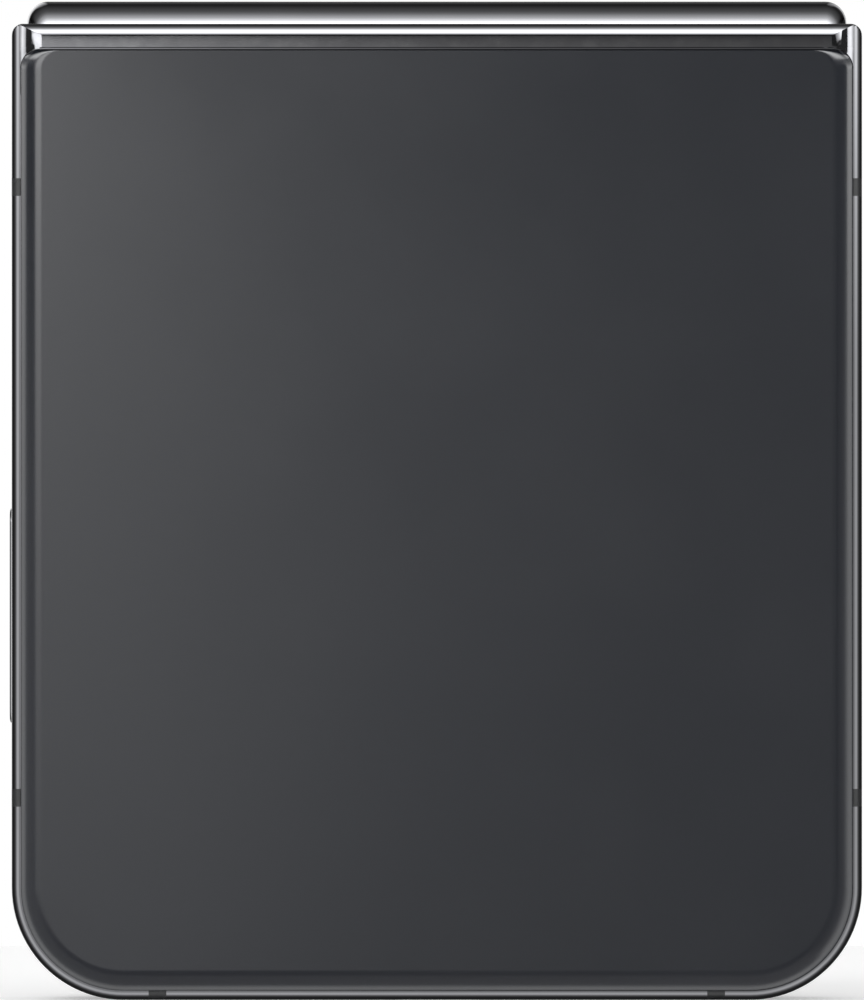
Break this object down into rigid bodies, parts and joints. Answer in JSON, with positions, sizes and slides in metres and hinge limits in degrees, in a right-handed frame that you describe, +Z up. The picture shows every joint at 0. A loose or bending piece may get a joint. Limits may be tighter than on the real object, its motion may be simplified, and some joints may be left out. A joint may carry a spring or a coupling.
{
  "type": "foldable smartphone",
  "caption": "Clamshell phone that folds in half across its display on a two-axis geared hinge, shown closed and standing.",
  "frame": {"origin": "middle of the footprint of the closed phone, on the surface that it stands on", "axes": "+X across the phone, to the right seen from the rear glass; +Y from the rear glass to the camera side; +Z up, towards the hinge"},
  "size_m": [0.0723, 0.0174, 0.0845],
  "materials": {
    "frame_metal": "polished dark graphite",
    "antenna_plastic": "satin dark grey",
    "rear_glass": "frosted dark grey glass",
    "black_glass": "glossy black glass",
    "display": "glossy black display film",
    "bezel": "satin black",
    "steel": "brushed",
    "hinge_bronze": "machined",
    "board": "solder resist",
    "cell": "battery wrap",
    "copper": "satin copper",
    "black_plastic": "satin",
    "flash": "clear diffuser",
    "lens_glass": "coated glass"
  },
  "bodies": {
    "lower_half": {"lower_frame": "frame_metal", "lower_antenna_bands": "antenna_plastic", "rear_glass": "rear_glass", "rear_glass_seal": "bezel", "lower_midplate": "steel", "lower_display": "display", "lower_bezel": "bezel", "lower_battery": "cell", "charging_board": "board", "usb_socket": "steel", "loudspeaker": "black_plastic", "loudspeaker_mesh": "steel", "vibration_motor": "steel", "lower_microphone": "steel", "charging_coil": "copper", "coil_ferrite": "cell", "lower_wing_left": "steel", "lower_wing_right": "steel", "lower_screws": "steel", "lower_magnets": "steel", "lower_flex": "copper"},
    "spine": {"spine_cover": "frame_metal", "spine_end_caps": "bezel", "hinge_housing_left": "hinge_bronze", "hinge_housing_right": "hinge_bronze", "display_bend": "display", "friction_collars": "steel", "hinge_flex": "copper"},
    "upper_half": {"upper_frame": "frame_metal", "upper_antenna_bands": "antenna_plastic", "upper_rear_glass": "rear_glass", "cover_window": "black_glass", "upper_glass_seal": "bezel", "cover_screen": "display", "main_camera_ring": "frame_metal", "wide_camera_ring": "frame_metal", "camera_windows": "lens_glass", "main_camera": "black_plastic", "wide_camera": "black_plastic", "flash_window": "flash", "upper_midplate": "steel", "upper_display": "display", "upper_bezel": "bezel", "front_camera": "black_plastic", "earpiece": "black_plastic", "upper_battery": "cell", "main_board": "board", "shield_cans": "steel", "side_key_switch": "steel", "volume_switches": "steel", "card_holder": "steel", "upper_wings": "steel", "upper_screws_and_magnets": "steel"},
    "lower_shafts": {"lower_gear_shafts": "steel"},
    "lower_idlers": {"lower_idler_gears": "hinge_bronze"},
    "upper_idlers": {"upper_idler_gears": "hinge_bronze"},
    "upper_shafts": {"upper_gear_shafts": "steel"},
    "side_key": {"side_key": "frame_metal"},
    "volume_key": {"volume_key": "frame_metal"},
    "card_tray": {"card_tray": "frame_metal"}
  },
  "joints": [
    {"name": "spine_fold", "type": "hinge", "parent": "lower_half", "child": "spine", "pos_m": [0, -0.0015, 0.0811], "axis": [1, 0, 0], "range_deg": [0, 90]},
    {"name": "upper_fold", "type": "hinge", "parent": "spine", "child": "upper_half", "pos_m": [0, 0.0015, 0.0811], "axis": [1, 0, 0], "range_deg": [0, 90], "deforming": ["display_bend", "hinge_flex"]},
    {"name": "lower_shaft_turn", "type": "hinge", "parent": "spine", "child": "lower_shafts", "pos_m": [0, -0.00195, 0.083], "axis": [1, 0, 0], "range_deg": [-90, 0]},
    {"name": "lower_idler_turn", "type": "hinge", "parent": "spine", "child": "lower_idlers", "pos_m": [0, -0.00065, 0.083], "axis": [1, 0, 0], "range_deg": [0, 90]},
    {"name": "upper_idler_turn", "type": "hinge", "parent": "spine", "child": "upper_idlers", "pos_m": [0, 0.00065, 0.083], "axis": [1, 0, 0], "range_deg": [-90, 0]},
    {"name": "upper_shaft_turn", "type": "hinge", "parent": "spine", "child": "upper_shafts", "pos_m": [0, 0.00195, 0.083], "axis": [1, 0, 0], "range_deg": [0, 90]},
    {"name": "side_key_press", "type": "slide", "parent": "upper_half", "child": "side_key", "axis": [1, 0, 0], "range_m": [0, 0.0002], "stiffness_N_per_m": 4000},
    {"name": "volume_key_rock", "type": "hinge", "parent": "upper_half", "child": "volume_key", "pos_m": [-0.0345, 0.0048, 0.03245], "axis": [0, 1, 0], "range_deg": [-1.2, 1.2], "stiffness_Nm_per_rad": 0.5},
    {"name": "card_tray_slide", "type": "slide", "parent": "upper_half", "child": "card_tray", "axis": [1, 0, 0], "range_m": [0, 0.0165]}
  ],
  "couplings": [
    {"joint": "upper_fold", "follows": "spine_fold", "ratio": 1},
    {"joint": "lower_shaft_turn", "follows": "spine_fold", "ratio": -1},
    {"joint": "lower_idler_turn", "follows": "spine_fold", "ratio": 1},
    {"joint": "upper_idler_turn", "follows": "spine_fold", "ratio": -1},
    {"joint": "upper_shaft_turn", "follows": "spine_fold", "ratio": 1}
  ]
}
